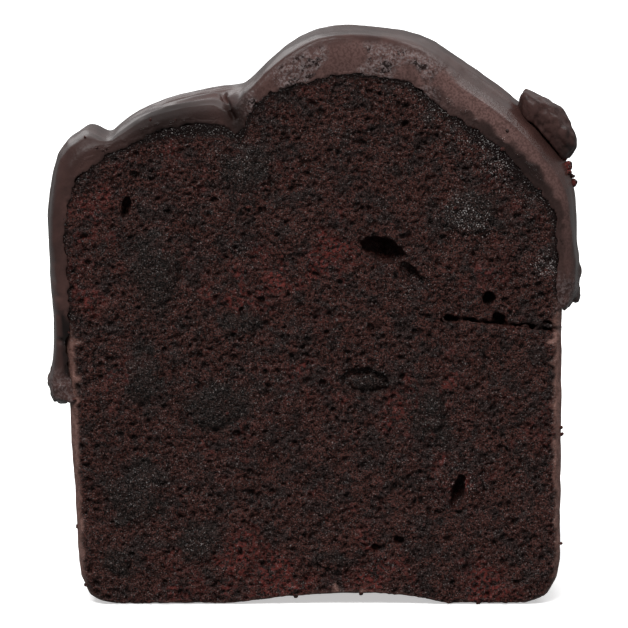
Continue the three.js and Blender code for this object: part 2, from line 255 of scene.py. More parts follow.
# Extra lobes of the icing: centre, radii and turn in degrees about the slice's depth
ICING_LOBES = [
    {"at": (-14.6, -8.5, 91.2), "size": (2.0, 5.0, 1.5), "turn": -25},
    {"at": (-45.4, -11.0, 39.2), "size": (1.1, 3.0, 3.0), "turn": 6},
    {"at": (-47.2, -11.5, 41.2), "size": (0.6, 2.2, 2.0), "turn": 28},
    {"at": (46.0, -10.5, 56.2), "size": (0.9, 3.4, 2.8), "turn": 4},
    {"at": (47.3, -9.5, 57.0), "size": (0.9, 3.8, 2.8), "turn": -4},
    {"at": (47.9, -8.0, 60.0), "size": (0.6, 2.6, 1.4), "turn": 0},
]

# Growth of the chunks that fills their pockets
POCKET_FILL = 0.45

# Crumb that bridges the crack here and there: place in the front view, size, turn and depth
CRACK_CRUMB = [(26.6, 52.4), (30.2, 51.9), (35.6, 51.0), (38.2, 50.8), (40.6, 50.4), (43.6, 50.0)]
CRACK_CRUMB_SIZE = (1.5, 7.0, 0.75)
CRACK_CRUMB_TURN = 8.0
CRACK_CRUMB_BACK = 7.4

# Growth and crags of the lump, and how far it is pressed against the icing
LUMP_GROWTH = 0.2
LUMP_FACETS = {"height": 0.5, "width": 3.2, "seed": 103}
LUMP_GRAINS = [{"height": 0.14, "width": 1.1, "seed": 105}]
LUMP_NUDGE = (-0.7, 0.0, -0.2)

# Loose crumbs: places of the larger ones with their radius, and the small ones' number and spread
RED_CRUMBS = [
    (48.2, -6.0, 76.3, 0.7), (47.7, -6.5, 77.7, 0.6), (47.2, -7.0, 79.6, 0.85),
    (46.6, -7.2, 81.4, 0.6), (46.9, -8.0, 78.4, 0.5),
]
EDGE_CRUMBS = [
    (-43.6, -12.0, 14.0, 0.3), (-41.6, -12.5, 3.4, 0.3), (45.2, -12.0, 31.0, 0.4),
    (45.0, -12.4, 32.2, 0.3), (45.1, -12.2, 11.0, 0.3), (-3.2, -13.2, 0.9, 0.35),
    (8.6, -13.2, 1.6, 0.35), (30.0, -13.4, 0.6, 0.35),
]
SMALL_CRUMBS = {"count": 260, "least": 0.16, "most": 0.36, "seed": 8}
SMALL_CRUMB_LOW = (-45.0, -1.0, 2.0)
SMALL_CRUMB_HIGH = (45.0, 1.0, 92.0)
SMALL_CRUMB_FRONT = 0.2
SMALL_CRUMB_OFF = 2.0

# Shape of a loose crumb, how high it sits, and how far the tint of the red ones reaches
CRUMB_LIFT = 0.1
CRUMB_AXES = (0.7, 1.25)
CRUMB_BUMPS = [{"height": 0.25, "width": 0.6, "seed": 123}]
RED_REACH = (3.0, 1.5)
RED_LEAST = 0.3

# Colours in 0 to 255 sRGB: the cake's own as they look in daylight, and painted shade and painted glints
CRUMB_LIGHT = (77, 46, 41)
# Painted shade in the crumb's fine pits
CRUMB_PIT_SHADE = (10, 5, 4)
CRUMB_GREY = (56, 41, 39)
CRUMB_RED = (98, 42, 38)
CHOCOLATE_LIGHT = (54, 46, 43)
CHOCOLATE_DARK = (12, 10, 9)
# Painted glints: light specks that stand in for the highlights of moist crumb
PAINTED_GLINT = (188, 182, 180)
SOAKED = (16, 8, 7)
CRUST = (134, 101, 93)
CRUST_DARK = (98, 69, 62)
# Painted shade in the crumb's pores
PORE_SHADE = (6, 3, 3)
ICING = (74, 51, 47)
ICING_DARK = (60, 41, 38)
SECTION = (106, 80, 76)
SECTION_DARK = (80, 58, 54)
# Soaked icing, which also paints the shade in the fold's split
ICING_SOAKED = (30, 16, 13)
# Painted shade in the gap behind the hanging icing of the left side
GAP_SHADE = (16, 8, 7)
SPECKLE = (116, 102, 101)
LUMP = (66, 46, 43)
FLOOR = (252, 252, 252)
FLOOR_GLOW = 0.5
FLOOR_ROUGH = 0.9

# Grain of the materials: width in millimetres, detail and roughness
FINE_GRAIN = (0.28, 2.0, 0.6)
GREY_GRAIN = (2.6, 3.0, 0.6)
RED_GRAIN = (0.7, 3.0, 0.6)
CRUST_GRAIN = (1.1, 4.0, 0.7)
PAINTED_GLINT_GRAIN = (0.24, 2.0, 0.6)
CRUMB_BUMP_GRAIN = (0.28, 1.0, 0.5)
ICING_GRAIN = (7.0, 3.0, 0.6)
SECTION_GRAIN = (0.4, 3.0, 0.6)
BLOTCH_GRAIN = (2.2, 3.0, 0.6)
FLECK_GRAIN = (0.5, 4.0, 0.65)
LUMP_GRAIN = (1.2, 3.0, 0.6)
LUMP_BUMP_GRAIN = (0.8, 1.0, 0.6)
CRUMB_STRETCH = (0.95, 1.0, 1.0)

# Stretch of each grain over which one colour turns into the other
FINE_RANGE = (0.38, 0.62)
GREY_RANGE = (0.45, 0.62)
RED_RANGE = (0.46, 0.6)
CHOCOLATE_RANGE = (0.46, 0.64)
CRUST_RANGE = (0.36, 0.62)
ICING_RANGE = (0.35, 0.65)
SECTION_RANGE = (0.38, 0.6)
BLOTCH_RANGE = (0.5, 0.6)
FLECK_RANGE = (0.46, 0.6)
LUMP_RANGE = (0.2, 0.6)

# How much of each tint, painted shade and painted glint shows where its mask is full
CHOCOLATE_SHARE = 0.75
SOAK_SHARE = 0.95
PORE_SHADE_SHARE = 0.55
PAINTED_GLINT_SHARE = 0.8

# Painted glints: their strength on dry crumb, and the least grain that gets one in moist crumb
PAINTED_GLINT_DRY = 0.35
PAINTED_GLINT_MOIST_SPAN = (0.3, 1.0)
PAINTED_GLINT_LEAST = (0.61, 0.57)
PAINTED_GLINT_FULL = 0.69

# Shine, roughness from plain to soaked, and depth of the finest relief
CRUMB_SHINE = 0.2
CRUMB_ROUGH = (0.38, 0.25)
CRUMB_BUMP = 0.25
ICING_SHINE = 0.45
ICING_ROUGH = (0.26, 0.6)
ICING_GLOSSY = 0.14
ICING_BUMP = 0.3
LUMP_SHINE = 0.3
LUMP_ROUGH = 0.4
LUMP_BUMP = 0.06

# The studio's surroundings are brightest above and behind the slice
WORLD_BRIGHT_SIDE = (0.0, 0.45, 0.89)
WORLD_RANGE = {"From Min": 0.6, "From Max": 0.85, "To Min": 0.18, "To Max": 0.75}

# Lamps: direction towards them, strength, spread in degrees and whether they glint
LAMPS = {
    "soft_key": ((-0.12, -0.78, 0.8), 2.2, 24.0, False),
    "hard_key": ((-0.35, -0.6, 0.8), 0.7, 7.0, True),
    "rim": ((0.5, 0.25, 0.8), 0.5, 30.0, True),
    "back": ((-0.25, 0.9, 0.36), 0.1, 24.0, True),
}
FLOOR_HALF = 8.0

# Camera of the photograph
CAMERA_DISTANCE = 1000.0
CAMERA_RISE = 6.5
CAMERA_AIM = (0.0, 0.0, 52.0)
CAMERA_LENS = 313.6
CAMERA_SHIFT = (0.0007, -0.0046)
CAMERA_SENSOR = 36.0
CAMERA_FAR = 100.0

# Numbers that mix the fixed draws, and the turn of the noise's cells
PRIMES = (0x9E3779B1, 0x85EBCA77, 0xC2B2AE3D)
SEED_MIX = 0x27D4EB2F
FIRST_MIX = np.uint32(0x2C1B3C6D)
SECOND_MIX = np.uint32(0x297A2D39)
ALL_BITS = 0xFFFFFFFF
SKEW = np.array(Euler((0.5, 0.8, 0.3)).to_matrix())

# Mesh settings that several pieces share
SAME_POINT = 1e-7
SMOOTHING = 0.5
BALL_DETAIL = 4
CRUMB_DETAIL = 3
RIM_MESH = {"step": 1.0, "smooth": 2}


# Fields
def smoothstep(low, high, value):
    """0 below low, 1 above high and a smooth rise between; high may be the smaller."""
    t = np.clip((value - low) / (high - low), 0.0, 1.0)
    return t * t * (3.0 - 2.0 * t)


def bell(value, middle, spread):
    """1 at the middle, falling off on both sides."""
    return np.exp(-(((value - middle) / spread) ** 2))


def bulges(value, shapes):
    """The sum of several bells, each a height, middle and spread."""
    return sum(height * bell(value, middle, spread) for height, middle, spread in shapes)


def spot(points, x, z, wide, tall):
    """1 at a place of the front view, falling off round it."""
    return np.exp(-(((points[:, 0] - x) / wide) ** 2 + ((points[:, 2] - z) / tall) ** 2))


def hashed(cells, seed):
    """A fixed draw between 0 and 1 for each whole-numbered cell."""
    mixed = np.full(cells.shape[:-1], (seed * SEED_MIX) & ALL_BITS, np.uint32)
    for axis in range(cells.shape[-1]):
        part = cells[..., axis].astype(np.int64).astype(np.uint32)
        mixed = mixed ^ (part * np.uint32(PRIMES[axis]))
        mixed = (mixed ^ (mixed >> np.uint32(15))) * FIRST_MIX
        mixed = (mixed ^ (mixed >> np.uint32(12))) * SECOND_MIX
        mixed = mixed ^ (mixed >> np.uint32(15))
    return mixed / 2.0**32


def noise(points, width, seed):
    """Smooth noise between -1 and 1, with bumps of about that width."""
    place = points @ SKEW / width
    base = np.floor(place).astype(np.int64)
    share = place - base
    share = share**3 * (share * (share * 6.0 - 15.0) + 10.0)
    total = np.zeros(len(points))
    for corner in itertools.product((0, 1), repeat=3):
        weight = np.prod(np.where(corner, share, 1.0 - share), axis=1)
        total += weight * hashed(base + np.array(corner), seed)
    return 2.0 * total - 1.0


def bumps(points, layers):
    """The sum of several noises, each with its height."""
    return sum(layer["height"] * noise(points, layer["width"], layer["seed"]) for layer in layers)


def pore_depth(flat, cell, chance, least, most, seed):
    """Depth of round pores scattered over a flat face, at most one to a cell."""
    place = flat / (cell * np.array(PORE_STRETCH))
    base = np.floor(place).astype(np.int64)
    depth = np.zeros(len(flat))
    for step in itertools.product((-1, 0, 1), repeat=2):
        here = base + np.array(step)
        centre = here + np.stack([hashed(here, seed), hashed(here, seed + 1)], axis=1)
        radius = least + (most - least) * hashed(here, seed + 2) ** PORE_SKEW
        away = np.linalg.norm(place - centre, axis=1) * cell
        bowl = np.sqrt(np.maximum(radius**2 - away**2, 0.0))
        depth = np.maximum(depth, np.where(hashed(here, seed + 3) < chance, bowl, 0.0))
    return depth


def crumb_pores(points, side):
    """Depth of all the crumb's pores at points of a cut face, the two faces differing."""
    warp = [WARP["reach"] * noise(points, WARP["width"], WARP["seed"] + n) for n in (0, 1)]
    flat = points[:, [0, 2]] + np.stack(warp, axis=1)
    flat = np.where(side[:, None] > 0, BACK_SHIFT - flat, flat)
    return np.max([pore_depth(flat, **kind) for kind in PORES], axis=0)


# Meshes
def read(mesh):
    """Points in millimetres, and normals, of a mesh."""
    points = np.empty(len(mesh.vertices) * 3)
    normals = np.empty(len(mesh.vertices) * 3)
    mesh.vertices.foreach_get("co", points)
    mesh.vertex_normals.foreach_get("vector", normals)
    return points.reshape(-1, 3) / MM, normals.reshape(-1, 3)


def write(mesh, points):
    """Moves a mesh's points to places in millimetres."""
    mesh.vertices.foreach_set("co", (points * MM).ravel())
    mesh.update()


def store(mesh, name, values):
    """Keeps one number for each point, for the material to read."""
    layer = mesh.attributes.new(name, "FLOAT", "POINT")
    layer.data.foreach_set("value", np.ascontiguousarray(values, np.float32))


def ball(at, size, turn):
    """A mesh ellipsoid in millimetres."""
    form = bmesh.new()
    place = Matrix.Translation(Vector(at) * MM) @ Matrix.Rotation(math.radians(turn), 4, "Y")
    place = place @ Matrix.Diagonal((*[length * MM for length in size], 1.0))
    bmesh.ops.create_icosphere(form, subdivisions=BALL_DETAIL, radius=1.0, matrix=place)
    mesh = bpy.data.meshes.new("ball")
    form.to_mesh(mesh)
    form.free()
    return mesh


def joined(meshes):
    """One mesh of several, with points that lie together made one."""
    form = bmesh.new()
    for mesh in meshes:
        form.from_mesh(mesh)
    bmesh.ops.remove_doubles(form, verts=form.verts, dist=SAME_POINT)
    mesh = bpy.data.meshes.new("joined")
    form.to_mesh(mesh)
    form.free()
    return mesh


def shaped(mesh, *modifiers):
    """The mesh after modifiers, each a kind and its settings."""
    worker = bpy.data.objects.new("worker", mesh)
    bpy.context.scene.collection.objects.link(worker)
    for kind, settings in modifiers:
        modifier = worker.modifiers.new(kind, kind)
        for name, value in settings.items():
            setattr(modifier, name, value)
    graph = bpy.context.evaluated_depsgraph_get()
    result = bpy.data.meshes.new_from_object(worker.evaluated_get(graph))
    bpy.data.objects.remove(worker)
    return result


def remeshed(mesh, step, smooth):
    """The mesh in even steps of a size in millimetres, smoothed."""
    return shaped(
        mesh,
        ("REMESH", {"mode": "VOXEL", "voxel_size": step * MM}),
        ("SMOOTH", {"factor": SMOOTHING, "iterations": smooth}),
    )


def thinned(mesh, triangles):
    """The mesh with no more than that many triangles."""
    have = len(mesh.loops) - 2 * len(mesh.polygons)
    return shaped(mesh, ("DECIMATE", {"ratio": min(1.0, triangles / have)}))


def cut_half(mesh, side):
    """The closed half of a mesh that lies in front of the slice's middle, or behind it."""
    form = bmesh.new()
    form.from_mesh(mesh)
    everything = [*form.verts, *form.edges, *form.faces]
    cut = bmesh.ops.bisect_plane(
        form,
        geom=everything,
        plane_co=(0.0, 0.0, 0.0),
        plane_no=(0.0, side, 0.0),
        clear_outer=True,
    )
    rim = [edge for edge in cut["geom_cut"] if isinstance(edge, bmesh.types.BMEdge)]
    bmesh.ops.contextual_create(form, geom=rim)
    for edge in rim:
        edge.smooth = False
    half = bpy.data.meshes.new("half")
    form.to_mesh(half)
    form.free()
    return half


def node_mesh(name, grow=0.0):
    """A copy of a solid's mesh, its points pushed out by a growth."""
    mesh = joined([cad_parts[name].data])
    if grow:
        points, normals = read(mesh)
        write(mesh, points + grow * normals)
    return mesh


def show(name, mesh, material, slot, *nodes):
    """Puts a mesh in the scene as a piece that stands for the named solids."""
    piece = bpy.data.objects.new(name, mesh)
    bpy.context.scene.collection.objects.link(piece)
    mesh.materials.clear()
    mesh.materials.append(material)
    mesh.polygons.foreach_set("use_smooth", np.ones(len(mesh.polygons), bool))
    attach(piece, "root")
    if nodes:
        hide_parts(*nodes)
    return piece


# Outlines round the heart
def polar(points):
    """Angle from straight up towards +X in degrees, and distance, round the heart."""
    across = points[:, 0] - HEART[0]
    up = points[:, 2] - HEART[1]
    return np.degrees(np.arctan2(across, up)), np.hypot(across, up)


def outline(points):
    """A function that gives the outermost distance of the points at an angle."""
    angle, reach = polar(points)
    bins = np.round(angle).astype(int) % 360
    known = np.unique(bins)
    rim = [reach[bins == n].max() for n in known]
    return lambda at: np.interp(at, known, rim, period=360.0)


# Masks of the crumb
def chunk_ring(name, points):
    """Distance of points from a chunk's middle in the front view, 1 at its rim, and the middle's depth."""
    low, high = (np.array(corner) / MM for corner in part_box(name))
    centre = (low + high) / 2.0
    away = (points - centre) / ((high - low) / 2.0)
    return np.hypot(away[:, 0], away[:, 2]), centre[1]


def chunk_share(points, side):
    """1 inside a chocolate chunk of the same face, fading out round it."""
    share = np.zeros(len(points))
    wobble = bumps(points, CHUNK_WOBBLE)
    for name in CHUNK_NAMES:
        ring, depth = chunk_ring(name, points)
        fade = smoothstep(*CHUNK_FADE, ring + wobble)
        share = np.maximum(share, np.where(side * depth > 0, fade, 0.0))
    return share


def painted_glint_share(points, angle, inset):
    """Share of painted glints on the crumb: in moist patches, and along the icing of both shoulders."""
    share = np.zeros(len(points))
    for strength, fade, middle, spread in PAINTED_GLINT_BANDS:
        share = np.maximum(share, strength * smoothstep(*fade, inset) * bell(angle, middle, spread))
    for x, z, wide, tall, strength in PAINTED_GLINT_PATCHES:
        share = np.maximum(share, strength * spot(points, x, z, wide, tall))
    return np.clip(share * (PAINTED_GLINT_EVEN + bumps(points, PAINTED_GLINT_BREAKS)), 0.0, 1.0)


def crumb_masks(points):
    """Which face points of the crumb belong to, where it is crust, soaked, chocolate or red, and where it
    gets painted glints.
    """
    side = np.where(points[:, 1] > 0, 1.0, -1.0)
    angle, reach = polar(points)
    inset = sponge_rim(angle) - reach + bumps(points, RIM_WOBBLE)
    iced = smoothstep(*ICED_LEFT, angle) * smoothstep(*ICED_RIGHT, angle)
    base = smoothstep(*BASE_CRUST, points[:, 2])
    band = SOAK_DEPTH + bulges(angle, SOAK_BULGES)
    red = RED_EVEN + bumps(points, RED_BLOTCHES)
    for x, z, radius in RED_PATCHES:
        red += RED_PATCH_SHARE * spot(points, x, z, radius, radius)
    return {
        "side": side,
        "crust": smoothstep(*CRUST_FADE, inset + base) * (1.0 - iced),
        "soak": smoothstep(band + SOAK_FADE[0], band + SOAK_FADE[1], inset) * iced,
        "chunk": chunk_share(points, side),
        "red": smoothstep(*RED_FADE, red),
        "gloss_and_painted_glint": painted_glint_share(points, angle, inset),
    }


def crumb_relief(points, normals, masks):
    """Points moved by the crumb's pores and crags."""
    cut = 1.0 - masks["crust"]
    open_crumb = cut * (1.0 - SOAK_FILLS_PORES * masks["soak"])
    open_crumb *= 1.0 - CHUNK_FILLS_PORES * masks["chunk"]
    flat = smoothstep(*CUT_FACING, np.abs(normals[:, 1]))
    depth = PORE_DEEPER * crumb_pores(points, masks["side"]) * open_crumb * flat
    rise = bumps(points, CRAGS) * cut * (1.0 - SOAK_FLATTENS * masks["soak"])
    rise += bumps(points, CRUST_BUMPS) * masks["crust"]
    return points + normals * (rise - depth)[:, None]


def store_crumb(mesh):
    """Keeps the masks of a piece of crumb, and the painted shade of its pores, for its material."""
    points = read(mesh)[0]
    masks = crumb_masks(points)
    open_crumb = (1.0 - masks["crust"]) * (1.0 - SOAK_HIDES_PORES * masks["soak"])
    pore_shade = crumb_pores(points, masks["side"]) * open_crumb / PORE_SHADE_FULL
    store(mesh, "pore_shade", np.clip(pore_shade, 0.0, 1.0))
    for name in ("crust", "soak", "chunk", "red", "gloss_and_painted_glint"):
        store(mesh, name, masks[name])


# Materials
def linear(colour):
    """A shader colour from 0 to 255 sRGB."""
    parts = [part / 255.0 for part in colour]
    return (*[p / 12.92 if p <= 0.04045 else ((p + 0.055) / 1.055) ** 2.4 for p in parts], 1.0)


class Shader:
    """A surface material and its nodes."""

    def __init__(self, name, **sockets):
        self.material = bpy.data.materials.new(name)
        self.material.use_nodes = True
        self.tree = self.material.node_tree
        self.surface = self.tree.nodes["Principled BSDF"]
        self.fill(self.surface, sockets)
        self.place = self.add("ShaderNodeTexCoord").outputs["Object"]

    def feed(self, socket, value):
        """Sets a socket to a value, or links another node's output to it."""
        if isinstance(value, bpy.types.NodeSocket):
            self.tree.links.new(value, socket)
        else:
            socket.default_value = value

    def fill(self, node, sockets):
        for name, value in sockets.items():
            self.feed(node.inputs[name], value)

    def add(self, kind, sockets=None, **settings):
        node = self.tree.nodes.new(kind)
        for name, value in settings.items():
            setattr(node, name, value)
        self.fill(node, sockets or {})
        return node

    def stretch(self, scale):
        """Draws the textures out along the axes."""
        sockets = {"Vector": self.place, "Scale": scale}
        self.place = self.add("ShaderNodeMapping", sockets).outputs["Vector"]

    def mask(self, name):
        return self.add("ShaderNodeAttribute", attribute_name=name).outputs["Fac"]

    def grain(self, width, detail, rough):
        """Noise between 0 and 1, with grains of a width in millimetres."""
        sockets = {"Vector": self.place, "Scale": 1.0 / (width * MM)}
        sockets.update({"Detail": detail, "Roughness": rough})
        return self.add("ShaderNodeTexNoise", sockets).outputs["Fac"]

    def between(self, value, low, high, start=0.0, end=1.0):
        """A value's stretch from low to high, spread over start to end."""
        sockets = {"Value": value, "From Min": low, "From Max": high, "To Min": start, "To Max": end}
        node = self.add("ShaderNodeMapRange", sockets, interpolation_type="SMOOTHSTEP")
        return node.outputs["Result"]

    def patchy(self, grain, span):
        """A grain's stretch, spread over 0 to 1."""
        return self.between(self.grain(*grain), *span)

    def times(self, first, second):
        node = self.add("ShaderNodeMath", operation="MULTIPLY")
        self.feed(node.inputs[0], first)
        self.feed(node.inputs[1], second)
        return node.outputs["Value"]

    def mixed(self, share, first, second):
        """A colour between two, each an sRGB colour or another node's."""
        node = self.add("ShaderNodeMix", data_type="RGBA")
        self.feed(node.inputs[0], share)
        for socket, value in zip((node.inputs[6], node.inputs[7]), (first, second)):
            self.feed(socket, linear(value) if isinstance(value, tuple) else value)
        return node.outputs[2]

    def bump(self, height, depth):
        """Fine relief of a depth in millimetres."""
        sockets = {"Height": height, "Distance": depth * MM, "Strength": 1.0}
        self.fill(self.surface, {"Normal": self.add("ShaderNodeBump", sockets).outputs["Normal"]})


def crumb_material(name):
    shader = Shader(name, **{"Specular IOR Level": CRUMB_SHINE})
    shader.stretch(CRUMB_STRETCH)
    fine = shader.grain(*FINE_GRAIN)
    light = shader.mixed(shader.patchy(GREY_GRAIN, GREY_RANGE), CRUMB_LIGHT, CRUMB_GREY)
    # Low places of the fine grain, where the bump of the same width sinks, turn dark with painted shade
    colour = shader.mixed(shader.between(fine, *FINE_RANGE), CRUMB_PIT_SHADE, light)
    blush = shader.times(shader.mask("red"), shader.patchy(RED_GRAIN, RED_RANGE))
    colour = shader.mixed(blush, colour, CRUMB_RED)
    grey = shader.mixed(shader.between(fine, *CHOCOLATE_RANGE), CHOCOLATE_DARK, CHOCOLATE_LIGHT)
    colour = shader.mixed(shader.times(shader.mask("chunk"), CHOCOLATE_SHARE), colour, grey)
    colour = shader.mixed(shader.times(shader.mask("soak"), SOAK_SHARE), colour, SOAKED)
    crust = shader.mixed(shader.patchy(CRUST_GRAIN, CRUST_RANGE), CRUST_DARK, CRUST)
    colour = shader.mixed(shader.mask("crust"), colour, crust)
    # Painted shade in the pores, fuller the deeper they are
    colour = shader.mixed(shader.times(shader.mask("pore_shade"), PORE_SHADE_SHARE), colour, PORE_SHADE)
    # Painted glints: light specks in the sparse high places of a fine grain, more of them in moist crumb
    gloss_and_painted_glint = shader.mask("gloss_and_painted_glint")
    glint_strength = shader.between(gloss_and_painted_glint, 0.0, 1.0, PAINTED_GLINT_DRY, 1.0)
    least = shader.between(gloss_and_painted_glint, *PAINTED_GLINT_MOIST_SPAN, *PAINTED_GLINT_LEAST)
    painted_glint = shader.times(glint_strength, shader.between(shader.grain(*PAINTED_GLINT_GRAIN), least, PAINTED_GLINT_FULL))
    colour = shader.mixed(shader.times(painted_glint, PAINTED_GLINT_SHARE), colour, PAINTED_GLINT)
    rough = shader.between(shader.mask("soak"), 0.0, 1.0, *CRUMB_ROUGH)
    shader.fill(shader.surface, {"Base Color": colour, "Roughness": rough})
    shader.bump(shader.grain(*CRUMB_BUMP_GRAIN), CRUMB_BUMP)
    return shader.material


def icing_material():
    shader = Shader("icing", **{"Specular IOR Level": ICING_SHINE})
    colour = shader.mixed(shader.patchy(ICING_GRAIN, ICING_RANGE), ICING_DARK, ICING)
    section = shader.mixed(shader.patchy(SECTION_GRAIN, SECTION_RANGE), SECTION_DARK, SECTION)
    colour = shader.mixed(shader.mask("section"), colour, section)
    blotch = shader.times(shader.mask("wet"), shader.patchy(BLOTCH_GRAIN, BLOTCH_RANGE))
    colour = shader.mixed(blotch, colour, ICING_SOAKED)
    # Soaked icing, and painted shade in the fold's split
    colour = shader.mixed(shader.mask("soak"), colour, ICING_SOAKED)
    flecks = shader.grain(*FLECK_GRAIN)
    fleck = shader.times(shader.mask("wet"), shader.between(flecks, *FLECK_RANGE))
    colour = shader.mixed(fleck, colour, SPECKLE)
    # Painted shade in the gap behind the left side's hanging icing
    colour = shader.mixed(shader.mask("gap_shade"), colour, GAP_SHADE)
    dull = shader.between(shader.mask("soak"), 0.0, 1.0, *ICING_ROUGH)
    rough = shader.between(shader.mask("gloss_and_painted_glint"), 0.0, 1.0, dull, ICING_GLOSSY)
    shader.fill(shader.surface, {"Base Color": colour, "Roughness": rough})
    shader.bump(shader.times(shader.mask("grain"), flecks), ICING_BUMP)
    return shader.material


def lump_material():
    shader = Shader("chocolate_lump", Roughness=LUMP_ROUGH, **{"Specular IOR Level": LUMP_SHINE})
    colour = shader.mixed(shader.patchy(LUMP_GRAIN, LUMP_RANGE), ICING_SOAKED, LUMP)
    shader.fill(shader.surface, {"Base Color": colour})
    shader.bump(shader.grain(*LUMP_BUMP_GRAIN), LUMP_BUMP)
    return shader.material


# Pieces
CHUNK_NAMES = sorted(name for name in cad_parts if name.startswith("chunk_"))


def make_sponge(material):
    depth = -HALF_DEPTH + CRACK_CRUMB_BACK
    bridges = [ball((x, depth, z), CRACK_CRUMB_SIZE, CRACK_CRUMB_TURN) for x, z in CRACK_CRUMB]
    chunks = [node_mesh(name, POCKET_FILL) for name in CHUNK_NAMES]
    filled = joined([node_mesh("sponge"), *chunks, *bridges])
    mesh = remeshed(filled, SPONGE_MESH["step"], SPONGE_MESH["smooth"])
    points, normals = read(mesh)
    write(mesh, crumb_relief(points, normals, crumb_masks(points)))
    mesh = thinned(mesh, SPONGE_MESH["triangles"])
    pieces = []
    for face, side in (("front", 1.0), ("back", -1.0)):
        half = cut_half(mesh, side)
        store_crumb(half)
        pieces.append(show("sponge_" + face, half, material, "sponge", "sponge"))
    return pieces


def make_chunk(name, material):
    mesh = remeshed(node_mesh(name), CHUNK_MESH["step"], CHUNK_MESH["smooth"])
    points, normals = read(mesh)
    ring = chunk_ring(name, points)[0]
    rise = bumps(points, CHUNK_CRAGS) + CHUNK_RISE - CHUNK_RIM_DROP * smoothstep(*CHUNK_RIM, ring)
    write(mesh, points + normals * rise[:, None])
    mesh = thinned(mesh, CHUNK_MESH["triangles"])
    store_crumb(mesh)
    return show(name + "_chocolate", mesh, material, "chocolate", name)


def icing_place(points):
    """Angle round the heart, and share of the icing's thickness, at points of the icing."""
    angle, reach = polar(points)
    inner = sponge_rim(angle)
    return angle, (reach - inner) / np.maximum(icing_rim(angle) - inner, THIN_ICING)


def rolled(points):
    """The icing's front edge rolled back and down, and its inner edge smeared over the crumb."""
    angle, share = icing_place(points)
    front = smoothstep(*ROLL_REACH, points[:, 1])
    back = ROLL_BACK + bulges(angle, ROLL_MORE)
    smear = smoothstep(*SMEAR_SHARE, share) * smoothstep(*SMEAR_REACH, points[:, 1])
    full = np.clip(share, 0.0, MOST_SHARE)
    inwards = full * ROLL_DOWN * front**2 + smear * (SMEAR_EVEN + bumps(points, SMEAR_RAGS))
    inwards -= SIDE_SWELL * full * smoothstep(*SIDE_ANGLE, np.abs(angle))
    outward = points[:, [0, 2]] - np.array(HEART)
    outward /= np.linalg.norm(outward, axis=1)[:, None]
    moved = points.copy()
    moved[:, 1] += front * back * full**2 + SMEAR_FORWARD * smear
    moved[:, [0, 2]] -= outward * inwards[:, None]
    return moved


def off_line(points, start, end):
    """Distance of points from a line between two places of the front view."""
    start, end = np.array(start), np.array(end)
    flat = points[:, [0, 2]] - start
    along = np.clip(flat @ (end - start) / np.sum((end - start) ** 2), 0.0, 1.0)
    return np.linalg.norm(flat - along[:, None] * (end - start), axis=1)


def icing_masks(points, normals):
    """Where the icing is cut, soaked, wet and rough, or glossy, and where painted shade darkens the left
    gap and the fold's split.
    """
    angle, share = icing_place(points)
    cut = smoothstep(*ICING_CUT_FACING, np.abs(normals[:, 1]))
    shown = smoothstep(*SHOWN_REACH, points[:, 1])
    shoulder = bell(angle, *SHOULDER)
    ragged = share + bumps(points, SOAK_RAGS)
    soaks_and_split_shade = [
        shown * smoothstep(*SOAK_PLATEAU["share"], ragged) * bell(angle, *SOAK_PLATEAU["angle"]),
        cut * smoothstep(*SOAK_INNER, ragged) * shoulder,
        cut * smoothstep(*SOAK_FOLD["share"], share) * bell(angle, *SOAK_FOLD["angle"]),
        # Painted shade in the split of the fold, coloured like soaked icing
        shown * bell(off_line(points, *FOLD_SPLIT), 0.0, SPLIT_SHADE),
    ]
    wet = cut * smoothstep(*WET_SHARE, share) * smoothstep(*WET_FROM, angle) * smoothstep(*WET_TO, angle)
    wet *= smoothstep(*WET_FADE, bumps(points, WET_BREAKS))
    drops = smoothstep(*DROP_FADE, bumps(points, DROPS))
    edge = cut * bell(share, *DROP_SHARE) * sum(bell(angle, *span) for span in DROP_ANGLES) * drops
    fold = cut * spot(points, *FOLD_GLINT, FOLD_GLINT_SIZE, FOLD_GLINT_SIZE)
    hem = smoothstep(*LEFT_HEM, points[:, 2])
    hem += smoothstep(*RIGHT_HEM, points[:, 2]) * (points[:, 0] > 0)
    streak = bell(share, *LEFT_STREAK["share"]) * bell(angle, *LEFT_STREAK["angle"]) * shown
    # A wedge of painted shade along the gap, widest at its bottom
    top, bottom = LEFT_GAP
    wedge = np.interp(points[:, 2], (bottom[1], top[1]), LEFT_GAP_SHADE_WIDTHS[::-1])
    limit = SECTION_LIMIT - SECTION_SHOULDER * shoulder + bumps(points, SECTION_RAGS)
    return {
        "section": cut * smoothstep(*SECTION_FADE, share - limit) * bell(angle, *SECTION_ANGLE),
        "gap_shade": shown * bell(off_line(points, *LEFT_GAP), 0.0, wedge),
        "soak": np.max(soaks_and_split_shade, axis=0),
        "wet": np.clip(wet + HEM_WET * hem, 0.0, 1.0),
        # On the icing this mask makes real gloss by lowering the roughness; on the crumb it paints glints
        "gloss_and_painted_glint": np.clip(edge + fold + WET_GLOSS * wet + hem + streak, 0.0, 1.0),
        "grain": np.clip(wet + CUT_GRAIN * cut + edge + fold + HEM_WET * hem, 0.0, 1.0),
    }


